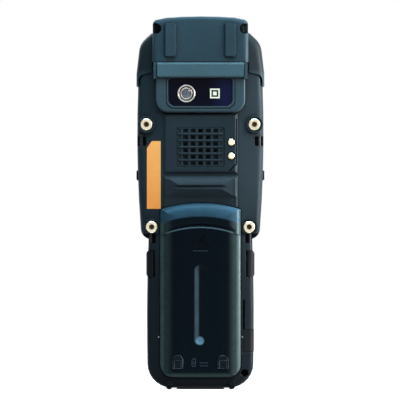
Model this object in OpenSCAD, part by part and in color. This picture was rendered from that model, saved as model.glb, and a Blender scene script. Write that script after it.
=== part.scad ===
// Portable barcode data terminal: a rugged handheld that stands on its bottom end.
// Millimetres. +Z is the scanning end, -Y the back with camera and battery cover,
// +Y the front with display and keypad. The origin is the middle of the standing face.

/* [Back layout, from the bottom up] */
// Lower edge of the battery cover above the standing face
cover_bottom = 5.9; // [5.4:0.1:7]
// Length of the battery cover
cover_len = 82.5; // [76:0.5:90]
// Finger ridge between battery cover and speaker panel
ridge_len = 14.9; // [13:0.1:18]
// Length of the speaker panel
speaker_len = 25.9; // [24:0.1:32]
// Shadow step between speaker panel and camera bezel
camera_step = 2.1; // [1.5:0.1:4]
// Camera bezel below the hood
bezel_len = 16.4; // [15.5:0.1:20]
// Height of the hood bar over the camera window
hood_len = 6.7; // [5:0.1:9]
// Length of the scanning nose above the hood
nose_len = 21.8; // [20:0.1:26]

/* [Body] */
// Width of the grip
grip_w = 50.7; // [49:0.1:54]
// Width of the head
head_w = 60; // [58:0.1:64]
// Width of the scanning nose
nose_w = 45.2; // [42:0.1:48]
// Height where the grip widens into the head
waist = 71.2; // [70:0.1:73]
// Corner radius under the head
shoulder_r = 5; // [3:0.1:6]
// Radius of the long bow along the head's sides
head_bow_r = 600; // [400:10:1000]
// Radius of the long bow along the grip's sides
grip_bow_r = 1100; // [700:10:2000]
// Corner radius at the bottom end
bottom_r = 11.5; // [9:0.1:13]
// Depth of the back behind the middle plane
back_y = 11.5; // [11:0.1:13]
// Depth of the front ahead of the middle plane
front_y = 15; // [14.5:0.1:16]
// Parting plane between the two casings, ahead of the middle plane
parting_y = 3; // [2.6:0.1:4]
// Rounding of the back edges
back_round = 3; // [2:0.1:4]
// Rounding of the front edges
front_round = 2.5; // [1.5:0.1:3.5]
// Wall of the casings
wall = 2.2; // [1.8:0.1:2.6]
// Height of the bottom boot
boot_len = 17.3; // [16.5:0.1:19]
// Width of the standing pad
pad_w = 22.6; // [18:0.1:24]
// Depth of the standing pad
pad_d = 15; // [12:0.1:18]
// Distance of each foot rib from the middle
foot_x = 14.8; // [13.8:0.1:15.4]
// Radius of a foot rib
foot_r = 1.5; // [1.2:0.1:1.6]
// How far the cap stands proud of the head
cap_proud = 0.8; // [0.5:0.1:1.2]
// Lower end of the cap's side skirts below the nose
skirt_drop = 11.3; // [9:0.1:12]

/* [Battery cover] */
// Grip left on each side of the battery cover
cover_side = 6.3; // [6:0.1:7]
// Corner radius at the cover's lower end
cover_r = 6.2; // [5:0.1:7]
// Rise of the arc along the cover's top edge
cover_arc = 3.1; // [2:0.1:4]
// Depth of the cover's flat back behind the middle plane
cover_y = 15.3; // [15:0.05:15.4]
// Depth of the battery cover's side edges
cover_edge = 12.2; // [12:0.05:12.5]
// Length of the finger hump at the cover's top
hump_len = 11.2; // [10:0.1:13]
// Wall of the cover
cover_wall = 1.5; // [1.2:0.1:1.8]
// Thickness of a latch's bolt
bolt_t = 1.1; // [0.9:0.1:1.3]
// Half width of the long finger groove
groove_r = 3.06; // [2:0.01:4]
// Depth of the finger groove
groove_deep = 1.0; // [0.6:0.1:1.1]
// Length of the finger groove
groove_len = 38.2; // [30:0.1:42]
// Distance from the cover's lower edge to the groove
groove_up = 15.1; // [13:0.1:18]
// Distance of each latch from the middle
latch_x = 10.7; // [9.5:0.1:11.5]
// Width of a latch button
latch_w = 5; // [4:0.1:6]
// Length of a latch button
latch_len = 6.4; // [5.5:0.1:7.5]
// Travel of a latch
latch_travel = 1.8; // [1.2:0.1:2]
// Distance of each hook tab from the middle
tab_x = 10; // [7:0.1:11]
// Width of a hook tab
tab_w = 6; // [4:0.1:8]
// Length of the battery pack
pack_len = 55.6; // [50:0.1:56.2]
// Room from the cover's edge to the battery pack on each side
pack_side = 2.85; // [2.6:0.05:3.5]
// Thickness of the battery pack
pack_t = 11.4; // [9:0.1:11.8]

/* [Camera and speaker] */
// Width of the camera bezel
bezel_w = 42.4; // [40:0.1:44]
// Lower corner radius of the camera bezel
bezel_r = 5.7; // [4:0.1:7]
// Depth of the bezel's face behind the middle plane
bezel_y = 14.3; // [13.8:0.1:14.6]
// Width of the camera window
window_w = 30.4; // [28:0.1:32]
// Length of the camera window
window_len = 13.2; // [12.8:0.1:14]
// Lens position right of the middle
lens_x = -6.65; // [-8:0.05:-6]
// Flash position right of the middle
flash_x = 6.84; // [6:0.05:8]
// Lens height below the hood
lens_drop = 7.5; // [7.2:0.1:8]
// Outer radius of the lens ring
ring_r = 4.2; // [3.5:0.1:4.6]
// Radius of the lens
lens_r = 2.2; // [1.8:0.1:2.6]
// Side of the flash lamp
flash_w = 4.6; // [4:0.1:5]
// Height of the raised spine behind the back's wings
spine_h = 1.6; // [1.2:0.1:1.8]
// Spine edge inside the battery cover's edge
spine_in = 0.45; // [0.3:0.05:1]
// Drop of the back's wings towards the sides, as a share of the width
wing_slope = 0.24; // [0.15:0.01:0.3]
// Width of the speaker grille
grille_w = 22.8; // [20:0.1:24]
// Length of the speaker grille
grille_len = 18.6; // [17:0.1:20]
// Rows of the grille's weave
grille_rows = 6; // [4:1:7]
// Columns of the grille's weave
grille_cols = 5; // [3:2:7]
// Radius of a charging contact
contact_r = 1.5; // [1:0.1:1.7]
// Spacing of the two charging contacts
contact_gap = 6.5; // [5:0.1:8]

/* [Front] */
// Width of the display glass
glass_w = 52; // [48:0.1:53]
// Thickness of the display glass
glass_t = 1.5; // [1.2:0.1:1.8]
// Gap between the scan key and the display glass
glass_gap = 3.2; // [2.8:0.1:4]
// Height of the lowest key row above the standing face
key_base = 24; // [23:0.1:25]
// Spacing of the number key columns
key_pitch_x = 14; // [12.5:0.1:14.6]
// Spacing of the number key rows
key_pitch_z = 10.2; // [9.4:0.1:10.4]
// Width of a number key
key_w = 11.2; // [9:0.1:12]
// Height of a number key
key_h = 7; // [5:0.1:8]
// Width of the scan key
scan_key_w = 17; // [14:0.1:18]
// Height of the scan key
scan_key_h = 8.6; // [7:0.1:9]
// Travel of a key
key_travel = 0.5; // [0.3:0.05:0.6]
// How far a key stands proud of the front
key_proud = 0.8; // [0.7:0.1:1]
// Thickness of the front plate at the keys
key_plate = 2.4; // [2.2:0.1:2.8]
// Thickness of the rubber mat under the keys
mat_t = 1.5; // [1.3:0.1:1.8]

/* [Inside] */
// Depth of the battery bay's floor behind the middle plane
bay_y = 1; // [0.8:0.1:1.4]
// Depth of the main board ahead of the middle plane
board_y = 0.6; // [0.5:0.1:0.8]
// Thickness of the main board
board_t = 1.2; // [1:0.1:1.6]
// Distance from the grip's side to the main board
board_in_grip = 5.1; // [5:0.1:5.6]
// Distance from the head's side to the main board
board_in_head = 6.9; // [6.8:0.1:7.4]
// Width of the scan engine
engine_w = 24; // [20:0.5:25]
// Height of the scan engine
engine_h = 11.5; // [10:0.5:12]
// Depth of the scan engine
engine_d = 13; // [11:0.5:14]
// Width of the scan window
scan_window_w = 30; // [27:0.5:34]
// Depth of the scan window
scan_window_d = 13; // [11:0.5:15]

/* [Sides and fasteners] */
// Length of a side trigger
trigger_len = 12.4; // [10:0.1:13]
// Height of a side trigger's middle above the standing face
trigger_z = 59.5; // [58:0.1:61]
// Length of a small side key
side_key_len = 5; // [4:0.1:7]
// Height of a small side key's middle above the standing face
side_key_z = 101.5; // [98:0.1:105]
// Width of a side key
side_w = 5; // [4:0.1:5.6]
// Width of a trigger, up to the back's corner
trigger_w = 7.4; // [6.5:0.1:8]
// How far a trigger or side key stands proud of the side
side_proud = 0.7; // [0.55:0.05:1]
// Travel of a trigger or side key
side_travel = 0.5; // [0.3:0.05:0.5]
// Radius of a case screw's head
screw_head_r = 2.85; // [2.4:0.05:3]
// Radius of a case screw's shank
screw_r = 1.2; // [1:0.05:1.4]
// Radius of a case screw's socket
socket_r = 1.15; // [0.8:0.05:1.3]
// Length of a case screw below its head
screw_len = 9.8; // [8:0.1:10]
// Distance of the upper screws from the head's side
screw_in_top = 4.4; // [4.2:0.1:4.8]
// Distance of the lower screws from the battery cover's side
screw_by_cover = 4.05; // [3.8:0.05:4.3]
// Radius of the hole for a wrist cord's peg
anchor_r = 1.8; // [1.4:0.1:2]
// Depth of that hole
anchor_deep = 14; // [8:1:18]
// Distance of the hole from the grip's side
anchor_in = 4.35; // [4.2:0.05:4.6]
// Height of the hole above the standing face
anchor_z = 7.8; // [7.5:0.1:8.2]
// Radius of a strap bar
strap_bar_r = 0.8; // [0.6:0.1:1]
// Length of the notch round a strap bar
notch_len = 4.6; // [4:0.1:5.2]
// Width of the rating label
label_w = 6.7; // [5:0.1:6.9]
// Length of the rating label
label_len = 32.1; // [24:0.1:34]
// Length of the port cover
port_len = 10.4; // [9.5:0.1:12]
// Depth of the port cover from front to back
port_d = 10.2; // [9:0.1:10.6]
// Front edge of the port cover ahead of the middle plane
port_y = 1.3; // [1:0.1:1.6]
// Thickness of the port cover
port_t = 1.2; // [1:0.05:1.4]
// Width of the port cover's turned-over edge on the back
port_back = 4.8; // [4:0.1:5]
// Length of the slot above the port cover
slot_len = 14.2; // [10:0.1:18]

/* [Clearances] */
// Visible seam between fixed casings
seam = 0.15; // [0.1:0.01:0.25]
// Running gap around keys, latches and port cover
gap = 0.2; // [0.15:0.01:0.25]
// Gap around the battery cover
cover_gap = 0.3; // [0.25:0.01:0.4]
// Fit between seated pieces
fit = 0.05; // [0.03:0.01:0.08]

/* [Hidden] */
$fn = 48;
eps = 0.01;
far = 400;
curve = 7; // segments along each rounded corner

// Heights that follow from the layout
cover_top = cover_bottom + cover_len;
speaker_bottom = cover_top + ridge_len;
speaker_top = speaker_bottom + speaker_len;
bezel_bottom = speaker_top + camera_step;
hood_bottom = bezel_bottom + bezel_len;
hood_top = hood_bottom + hood_len;
nose_bottom = hood_top + 0.6;
total_len = nose_bottom + nose_len;
skirt_z = nose_bottom - skirt_drop;
spigot_top = nose_bottom + 3;
belly_z = (waist + total_len) / 2 - 3;
grip_belly_z = waist / 2 - 5;

// Widths that follow from the grip and the head
cover_w = grip_w - 2 * cover_side;
spine_w = cover_w - 2 * spine_in;
pack_w = cover_w - 2 * pack_side;
screw_x_top = head_w / 2 - screw_in_top;
screw_x_low = cover_w / 2 + screw_by_cover;
ring_band = ring_r - lens_r;
anchor_x = grip_w / 2 - anchor_in;
board_hw = grip_w / 2 - board_in_grip;
head_board_hw = head_w / 2 - board_in_head;

// Depths on the back, all behind the middle plane
spine_y = back_y + spine_h;
ridge_y = spine_y + 1.9;
foot_y = back_y + 0.6;
bezel_seat = back_y - 0.5;
hood_y = back_y + 4.5;
ledge_y = back_y - 2.9;
cover_in = ledge_y + cover_gap;

// Battery bay and pack
bay_hw = pack_w / 2 + 0.4;
bay_z0 = boot_len + 2.5;
bay_z1 = bay_z0 + pack_len + 0.9;

// Keys: four rows of three number keys, then the scan key between two function keys
key_rows = 4;
key_cols = 3;
scan_row_z = key_base + key_rows * key_pitch_z + 0.7 + (scan_key_h - key_h) / 2;
keys_top = scan_row_z + scan_key_h / 2;
glass_z0 = keys_top + glass_gap;
glass_z1 = nose_bottom - 2.2;
key_y0 = front_y - key_plate + 0.05;

screw_z = [waist + 5.8, bezel_bottom - 5.7];
screw_spots = [for (s = [-1, 1]) each
    [[s * screw_x_low, screw_z[0]], [s * screw_x_top, screw_z[1]]]];

// ---------- helpers ----------

// Points along an arc about c, from angle a0 to a1
function arc(c, r, a0, a1, n = curve) =
    [for (i = [0:n]) let (a = a0 + (a1 - a0) * i / n) [c[0] + r * cos(a), c[1] + r * sin(a)]];

// A right half outline, listed upwards, with its mirror image on the left
function both(half) =
    concat(half, [for (i = [len(half) - 1:-1:0]) if (half[i][0] > eps) [-half[i][0], half[i][1]]]);

// Rounded rectangle about the point c
function rounded(c, w, h, r, n = 5) = concat(
    arc([c[0] + w / 2 - r, c[1] + h / 2 - r], r, 0, 90, n),
    arc([c[0] - w / 2 + r, c[1] + h / 2 - r], r, 90, 180, n),
    arc([c[0] - w / 2 + r, c[1] - h / 2 + r], r, 180, 270, n),
    arc([c[0] + w / 2 - r, c[1] - h / 2 + r], r, 270, 360, n));

// Box between corners
module box(x, y, z) translate([x[0], y[0], z[0]]) cube([x[1] - x[0], y[1] - y[0], z[1] - z[0]]);

// An outline in X and Z, filled from depth y0 to y1
module plate(points, y0, y1)
    translate([0, y1, 0]) rotate([90, 0, 0]) linear_extrude(y1 - y0) polygon(points);

// An outline in Y and Z, filled from x0 to x1
module bar(points, x0, x1)
    translate([x0, 0, 0]) rotate([90, 0, 90]) linear_extrude(x1 - x0) polygon(points);

// An outline in X and Y, filled from z0 to z1
module post(points, z0, z1) translate([0, 0, z0]) linear_extrude(z1 - z0) polygon(points);

// A round pin along Y between two depths
module pin_y(x, z, r, y0, y1) translate([x, y1, z]) rotate([90, 0, 0]) cylinder(r = r, h = y1 - y0);

// A shell blank: half outlines that pull in by a quarter round at the back and at the front
module pillow(half, y0, y1, r0, r1, steps = 4) {
    hull() {
        plate(both(half(0)), y0 + r0, y1 - r1);
        for (i = [0:steps - 1]) let (a = 90 * i / steps) {
            plate(both(half(r0 * (1 - sin(a)))), y0 + r0 * (1 - cos(a)), y0 + r0 * (1 - cos(a)) + eps);
            plate(both(half(r1 * (1 - sin(a)))), y1 - r1 * (1 - cos(a)) - eps, y1 - r1 * (1 - cos(a)));
        }
    }
}

module mirrored() for (s = [0, 1]) mirror([s, 0, 0]) children();

// Point by point between two outlines
function mix(a, b, t) = [for (i = [0:len(a) - 1]) a[i] * (1 - t) + b[i] * t];

// A blank from a list of [half outline, depth], with one thick plate in the middle
module rings(list, thick, y0, y1) hull() {
    plate(both(thick), y0, y1);
    for (r = list) plate(both(r[0]), r[1] - (r[1] < 0 ? 0 : eps), r[1] + (r[1] < 0 ? eps : 0));
}

// ---------- outlines of the casings ----------

// Depth of the back's sloping wings at the distance x from the middle
function wing_y(x) = foot_y - wing_slope * (x - spine_w / 2);
wing_angle = atan(wing_slope);
corner_a = 90 - wing_angle;

// A half outline with a round lower corner and a bowed side
function bowed(hw, bow, belly, z0, z1, r) =
    let (side = function(z) hw - pow(z - belly, 2) / (2 * bow))
    concat(arc([side(z0 + r) - r, z0 + r], r, -90, 0),
        [for (i = [1:6]) let (z = z0 + r + (z1 - z0 - r) * i / 6) [side(z), z]]);

function head_side(z) = head_w / 2 - pow(z - belly_z, 2) / (2 * head_bow_r);
function grip_side(z) = grip_w / 2 - pow(z - grip_belly_z, 2) / (2 * grip_bow_r);

// Outlines pulled in by d
function head_half(d) = bowed(head_w / 2 - d, head_bow_r, belly_z, waist + d, spigot_top,
    shoulder_r - d);
function grip_half(d) = bowed(grip_w / 2 - d, grip_bow_r, grip_belly_z, 0.7 + d, waist + 6,
    bottom_r - d);

// Where the wings end in the back's rounding, and where they meet the spine
function head_wing() = bowed(head_w / 2 - 3.3, 5 * head_bow_r, belly_z, waist + 2.2, spigot_top,
    shoulder_r - 1.5);
function head_foot() = bowed(spine_w / 2, 20 * head_bow_r, belly_z, waist + 6.5, spigot_top, 2);
function grip_wing() = bowed(grip_w / 2 - 2.2, 2 * grip_bow_r, grip_belly_z, 3, waist + 6,
    bottom_r - 1.6);
function grip_foot() = bowed(spine_w / 2 + 0.6, 20 * grip_bow_r, grip_belly_z, 4.4, waist + 6,
    bottom_r - 5);

// Rings of a quarter round at the front, at depth y1, from the outlines half(d)
function front_rings(half, y1, r, steps = 5) =
    [for (i = [0:steps - 1]) let (a = 90 * i / steps) [half(r * (1 - sin(a))), y1 - r * (1 - cos(a))]];

// Rings at the back: a rounding from the side to the wing, then the wing down to the spine's foot.
// The wing lies at depth y0 and the rounding is r deep.
function back_rings(side, wing, foot, y0, y2, r, steps = 6) = concat(
    [[foot, -y2], [wing, -y0]],
    [for (i = [1:steps - 1]) let (a = corner_a * i / steps, t = (1 - cos(a)) / (1 - cos(corner_a)))
        [mix(side, wing, t), -y0 + r * (sin(corner_a) - sin(a))]]);

head_edge = wing_y(head_w / 2 - 3.3);
grip_drop = 0.4;
grip_edge = wing_y(grip_w / 2 - 2.2) - grip_drop;

module head_blank() rings(concat(
    back_rings(head_half(0), head_wing(), head_foot(), head_edge, foot_y, 4.2),
    front_rings(function(d) head_half(d), front_y, front_round)),
    head_half(0), -head_edge + 4.2 * sin(corner_a), front_y - front_round);

module grip_blank(proud = 0) rings(concat(
    back_rings(grip_half(0), grip_wing(), grip_foot(), grip_edge,
        wing_y(spine_w / 2 + 0.6) - grip_drop, back_round),
    front_rings(function(d) grip_half(d), front_y + proud, front_round)),
    grip_half(0), -grip_edge + back_round * sin(corner_a), front_y + proud - front_round);

// The grip's skin seen from above, pulled in by d, from the point at depth y on the side to the
// point at x on the back
function grip_skin(d, y, x) =
    let (s = grip_w / 2, w = s - 2.2, a = 2.2 / (1 - cos(corner_a)),
        y0 = grip_edge - back_round * sin(corner_a))
    concat([[s - d, y]],
        [for (i = [0:5]) let (b = corner_a * i / 5)
            [s - a * (1 - cos(b)) - d * cos(b), -y0 - back_round * sin(b) + d * sin(b)]],
        [[x, -wing_y(x) + grip_drop + d]]);

// Lays what it holds on the left (-1) or right (1) wing of the head: its plane is y = 0
module on_wing(s) translate([s * spine_w / 2, -foot_y, 0]) rotate([0, 0, s * wing_angle]) children();

function shoulder_half(d) =
    let (x = head_w / 2 + cap_proud - 0.4, z = total_len - 7.8)
    [[x - d, skirt_z - 6], [x - 0.05 - d, skirt_z + 6], [x - 0.75 - d, nose_bottom],
     each arc([x - 10.55, z - 9.5], 9.3 - d, 6, 48, 5),
     [nose_w / 2 + 0.6 - d * 0.6, z + 0.1 - d]];

// The shoulders' outline drawn together, by kx across and by dz at its top
function shoulder_small(kx, dz) = let (z0 = skirt_z - 6, kz = 1 - dz / (total_len - 7.5 - z0))
    [for (p = shoulder_half(0)) [p[0] * kx, z0 + (p[1] - z0) * kz]];

module shoulder_blank() {
    wing = head_w / 2 - 2.9;
    rings(concat(
        back_rings(shoulder_half(0), shoulder_small(wing / (head_w / 2 + 0.4), 2.4),
            shoulder_small(0.7, 5.5), wing_y(wing) + 0.5, wing_y(0.7 * head_w / 2) + 0.5, 4.4),
        front_rings(function(d) shoulder_half(d), front_y + 1, 3)),
        shoulder_half(0), -wing_y(wing) - 0.5 + 4.4 * sin(corner_a), front_y - 2);
}

function nose_half(d) = concat(
    [[nose_w / 2 - d, nose_bottom - 6]],
    arc([nose_w / 2 - 2.6, total_len - 4.0], 2.6 - min(d, 2.4), 0, 65, 4),
    [[nose_w / 2.8, total_len - 0.6 - d], [nose_w / 5.6, total_len - 0.15 - d], [0, total_len - d]]);

// ---------- where cap, boot and casings part ----------

// Everything above the cap's seam, raised by g
module cap_zone(g = 0) {
    x = head_w / 2 - 0.6;
    side = [[far, total_len + far], [far, skirt_z + g], [x, skirt_z + g]];
    plate(both(concat(side, arc([x - 3, nose_bottom - 8.7 + g], 3, 0, 90),
        [[nose_w / 2 + 0.3, nose_bottom - 4.8 + g], [nose_w / 2 + 0.3, nose_bottom + g]])), -far,
            parting_y);
    plate(both(concat(side, arc([x - 3, nose_bottom - 1 + g], 3, 0, 90))), parting_y, far);
}

module boot_zone(g = 0) box([-far, far], [-far, far], [-far, boot_len - g]);

// Reduced ends of the casings inside cap and boot, grown by g
module spigots(g = 0) {
    intersection() {
        union() {
            plate(both(head_half(2.4 - g)), 4.6 - back_y - g, front_y - 2.6 + g);
            plate(both(head_half(5.8 - g)), 2.6 - back_y - g, front_y - 2.6 + g);
        }
        box([-far, far], [-far, far], [skirt_z - 8, spigot_top - 0.2 + g]);
    }
    intersection() {
        plate(both(grip_half(3.2 - g)), 1 - ledge_y - g, front_y - 4 + g);
        box([-far, far], [-far, far], [boot_len - 7 - g, boot_len + 3]);
    }
}

module body_blank() {
    head_blank();
    grip_blank();
}

// Both casings as one, between cap and boot, with the ends that plug into them
module casing() {
    difference() {
        body_blank();
        cap_zone();
        boot_zone();
    }
    spigots();
}

// ---------- battery cover ----------

function cover_half(d) =
    let (hw = cover_w / 2, r = (hw * hw + cover_arc * cover_arc) / (2 * cover_arc))
    concat(arc([hw - cover_r, cover_bottom + cover_r], cover_r - d, -90, 0),
        arc([0, cover_top - r], r - d, acos((hw - d) / (r - d)), 90, 8));

// Pocket that the cover drops into
module cover_pocket() plate(both(cover_half(-cover_gap)), -far, -ledge_y);

// Hooks at the cover's top edge, grown by g to cut their pockets
module hook_tabs(g = 0)
    for (s = [-1, 1]) {
        box([s * tab_x - tab_w / 2 - g, s * tab_x + tab_w / 2 + g],
            [-back_y + 0.6 - 1.5 * g, -back_y + 2 + 4 * g], [cover_top - 2.4, cover_top + 2.6 + 2 * g]);
    }

// Across the cover: upright foot, round flank, then a slow crown that falls from the flat middle
cover_crown = 8; // degrees where the crown meets the flank
function cover_section(top) =
    let (hw = cover_w / 2, f = hw * 0.42, w = hw * 0.72, a = cover_crown, r = (w - f) / sin(a),
        sag = r * (1 - cos(a)), dx = hw - 0.12 - w, dy = top - cover_edge - sag,
        b = 2 * atan(dy / dx) - a, q = dx / (sin(b) - sin(a)))
    both(concat([[hw, -cover_in], [hw, -cover_edge + 0.25]],
        [for (i = [0:7]) let (c = b - (b - a) * i / 7)
            [w + q * (sin(c) - sin(a)), sag - top + q * (cos(a) - cos(c))]],
        [for (i = [1:4]) let (c = a * (4 - i) / 4) [f + r * sin(c), -top + r * (1 - cos(c))]]));

// Radius of the cover's top arc, and what turns about its middle: [distance, depth] profiles
cover_arc_r = (cover_w * cover_w / 4 + cover_arc * cover_arc) / (2 * cover_arc);
module turned(profile) translate([0, 0, cover_top - cover_arc_r]) rotate([90, 0, 0])
    rotate_extrude($fn = 240) polygon(profile);

module cover_blank() {
    hump_r = cover_arc_r - hump_len;
    intersection() {
        union() {
            intersection() {
                post(cover_section(cover_y), 0, cover_top);
                bar([[-cover_in, cover_bottom - 1], [-cover_in, cover_top], [-cover_y, cover_top],
                    [-cover_y, cover_bottom + 3.6], [-cover_y + 0.4, cover_bottom + 2],
                    [-cover_y + 1.2, cover_bottom + 0.8], [-cover_y + 2.2, cover_bottom],
                    [-cover_y + 2.2, cover_bottom - 1]], -far, far);
                turned([[0, cover_in - 1], [hump_r + 0.1, cover_in - 1], [hump_r + 0.1, cover_y - 0.75],
                    [hump_r - 0.1, cover_y - 0.3], [hump_r - 0.5, cover_y + eps], [0, cover_y + eps]]);
            }
            intersection() {
                post(cover_section(hood_y), cover_top - 2 * hump_len, cover_top + 1);
                turned(concat(
                    [[cover_arc_r + 1, cover_in], [hump_r - 0.4, cover_in], [hump_r - 0.4, cover_y - 0.9],
                     [hump_r + 0.1, cover_y - 0.75], [hump_r + 0.5, cover_y - 0.8]],
                    [for (i = [0:6]) let (b = 46 - 46 * i / 6)
                        [hump_r + 4.4 - 5 * sin(b), hood_y - 5 * (1 - cos(b))]],
                    [for (i = [1:6]) let (b = 53 * i / 6)
                        [hump_r + 4.4 + 9 * sin(b), hood_y - 9 * (1 - cos(b))]],
                    [[cover_arc_r + 1.2, spine_y - 1.7]]));
            }
        }
        plate(both(cover_half(0)), -far, far);
    }
}

module battery_cover() color([0.07, 0.09, 0.12]) {
    difference() {
        union() {
            cover_blank();
            hook_tabs();
        }
        // hollow inside, with a rim all round
        intersection() {
            plate(both(cover_half(cover_wall + 0.35)), -far, 0);
            translate([0, cover_wall, 0]) post(cover_section(cover_y), cover_bottom + 3.4,
                cover_top - hump_len + 1);
        }
        // long finger groove with round ends
        groove_ball = (groove_r * groove_r + groove_deep * groove_deep) / (2 * groove_deep);
        translate([0, -cover_y - groove_ball + groove_deep, 0]) {
            z0 = cover_bottom + groove_up + groove_r;
            z1 = z0 + groove_len - 2 * groove_r;
            translate([0, 0, z0]) cylinder(r = groove_ball, h = z1 - z0);
            for (z = [z0, z1]) translate([0, 0, z]) sphere(r = groove_ball);
        }
        // slots for the latches: stem through the back, bolt through the rim
        for (s = [-1, 1]) {
            box([s * latch_x - 1.3 - gap, s * latch_x + 1.3 + gap], [-far, 0],
                [latch_z + latch_len / 2 - 2.6 - latch_travel - gap,
                    latch_z + latch_len / 2 - 0.6 + gap]);
            box([s * latch_x - 1.7 - gap, s * latch_x + 1.7 + gap], [-bolt_y - gap, -cover_in + 0.5],
                [cover_bottom - 1, cover_bottom + 4]);
        }
    }
}

// ---------- latches ----------

latch_z = cover_bottom + 4.1 + latch_len / 2;
bolt_y = back_y - 1.1;

module latch(s) color([0.10, 0.12, 0.15]) {
    top = latch_z + latch_len / 2;
    // button on the cover's back, with a round top and a finger edge
    difference() {
        plate(concat([[s * latch_x - latch_w / 2, latch_z - latch_len / 2]],
            [[s * latch_x + latch_w / 2, latch_z - latch_len / 2]],
            arc([s * latch_x, top - latch_w / 2], latch_w / 2, 0, 180, 10)), -hood_y, -cover_y - 0.1);
        box([s * latch_x - latch_w / 2 + 0.9, s * latch_x + latch_w / 2 - 0.9],
            [-hood_y - 1, -cover_y - 0.35], [latch_z - latch_len, top - latch_w / 2]);
    }
    box([s * latch_x - 1.3, s * latch_x + 1.3], [-cover_y - 0.3, -bolt_y + bolt_t], [top - 2.6,
        top - 0.6]);
    box([s * latch_x - 1.7, s * latch_x + 1.7], [-bolt_y, -bolt_y + bolt_t], [cover_bottom + 0.2,
        top - 0.6]);
}

module latch_left() latch(-1);
module latch_right() latch(1);

// Pockets in the boot that the bolts slide into
module keepers()
    for (s = [-1, 1]) box([s * latch_x - 1.7 - gap, s * latch_x + 1.7 + gap],
        [-bolt_y - gap, -bolt_y + bolt_t + gap], [cover_bottom - latch_travel - 0.4, cover_bottom + 1]);

// ---------- battery ----------

module battery_bay() box([-bay_hw, bay_hw], [-far, -bay_y], [bay_z0, bay_z1]);

module battery_pack() color([0.16, 0.17, 0.19]) {
    z0 = bay_z0 + 0.4;
    y0 = -bay_y - 0.2 - pack_t;
    difference() {
        post(rounded([0, y0 + pack_t / 2], pack_w, pack_t, 1.6), z0, z0 + pack_len);
        // finger lip at the lower end and contact recess at the upper end
        box([-5, 5], [y0 - 1, y0 + 1.2], [z0 - 1, z0 + 2]);
        box([-7.5, 7.5], [-bay_y - 7, -bay_y - 3], [z0 + pack_len - 0.6, z0 + pack_len + 1]);
    }
}

module battery_contacts() color([0.85, 0.68, 0.32])
    for (x = [-4.5, -1.5, 1.5, 4.5]) box([x - 0.8, x + 0.8], [-bay_y - 6, -bay_y - 4],
        [bay_z1 - 0.8, bay_z1 + 1.5]);

// Rubber ring in the ledge round the bay
module seal_ring(g = 0) difference() {
    plate(both(cover_half(0.5 - g)), -ledge_y - 0.15, -ledge_y + 0.6 + g);
    plate(both(cover_half(1.4 + g)), -far, far);
}

module bay_seal() color([0.05, 0.05, 0.06]) seal_ring();

// ---------- back casing ----------

// Spine, finger ridge and speaker panel, as one profile along the back cut by one across it
module spine() intersection() {
    bar(concat([[0, cover_top - 2], [-spine_y + 0.5, cover_top - 2], [-spine_y + 0.5, cover_top + 2.5],
        [-spine_y + 0.2, cover_top + 3.1]],
        [[-spine_y - 1.55, cover_top + 5.9], [-ridge_y, cover_top + 6.5], [-ridge_y, cover_top + 6.9],
         [-ridge_y + 0.85, cover_top + 7.5], [-ridge_y + 0.85, cover_top + 7.9],
         [-ridge_y + 0.15, cover_top + 8.4], [-ridge_y + 0.4, cover_top + 9.2],
         [-ridge_y + 1.05, cover_top + 10.3], [-ridge_y + 1.9, cover_top + 11.4],
         [-ridge_y + 2.55, cover_top + 12.3], [-ridge_y + 2.9, cover_top + 13.1]],
        [[-spine_y + 1.25, speaker_bottom - 1.2], [-spine_y + 0.2, speaker_bottom - 0.2],
         [-spine_y, speaker_bottom + 0.3], [-spine_y, speaker_top + 0.4],
         [-spine_y + 1.2, bezel_bottom - 0.1], [0, bezel_bottom - 0.1]]), -far, far);
    union() {
        post(both([[spine_w / 2, 0], [spine_w / 2, -back_y + 0.2], [spine_w / 2 - 2.2,
            -spine_y - 0.01]]),
            cover_top - 2, bezel_bottom);
        post(both([[spine_w / 2, 0], [spine_w / 2, -back_y + 0.2], [spine_w / 2 - 2.6, -spine_y + 0.3],
            [spine_w / 2 - 6, -spine_y - 1.1], [spine_w / 2 - 9.3, -ridge_y - 0.2]]),
            cover_top - 2, speaker_bottom - 1.2);
    }
}

// Groove along the right edge of the speaker panel, with its cut corner
module panel_groove() {
    x = spine_w / 2 - 1.4;
    plate([[x - 0.5, speaker_top - 1], [x, speaker_top - 1], [x, speaker_bottom + 3.3], [x - 3.3,
        speaker_bottom],
        [x - 3.7, speaker_bottom + 0.4], [x - 0.5, speaker_bottom + 3.6]], -far, -spine_y + 0.9);
}

// Notches for hand strap bars at the head's four corners
strap_spots = [[head_w / 2 - 2.6, speaker_top - 11.5, 0], [screw_x_low - 0.2, screw_z[0] - 5.4, 0]];

module strap_notches() mirrored() for (p = strap_spots)
    translate([p[0], -back_y, p[1]]) rotate([0, p[2], 0])
        box([-1.7, far], [-1, 4.7], [-notch_len / 2, notch_len / 2]);

module strap_bars() color([0.45, 0.46, 0.48]) mirrored() for (p = strap_spots)
    translate([p[0] + 0.4, -back_y + 2.6, p[1] - notch_len / 2 - 1])
        cylinder(r = strap_bar_r, h = notch_len + 2);

module strap_bar_holes() mirrored() for (p = strap_spots)
    translate([p[0] + 0.4, -back_y + 2.6, p[1] - notch_len / 2 - 1 - fit])
        cylinder(r = strap_bar_r + fit, h = notch_len + 2 + 2 * fit);

// Recess for the main board, stepped where the head widens
module board_outline(g, y0, y1) {
    box([-board_hw - g, board_hw + g], [y0, y1], [bay_z0 - g, hood_bottom + g]);
    box([-head_board_hw - g, head_board_hw + g], [y0, y1], [cover_top - 4 - g, hood_bottom + g]);
}

// Blank of a small side key, grown by g and reaching depth into the side
module side_block(x, z, len, g, depth)
    box([x - depth - g, x + side_proud], [-4 - side_w / 2 - g, -4 + side_w / 2 + g],
        [z - len / 2 - g, z + len / 2 + g]);

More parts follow.
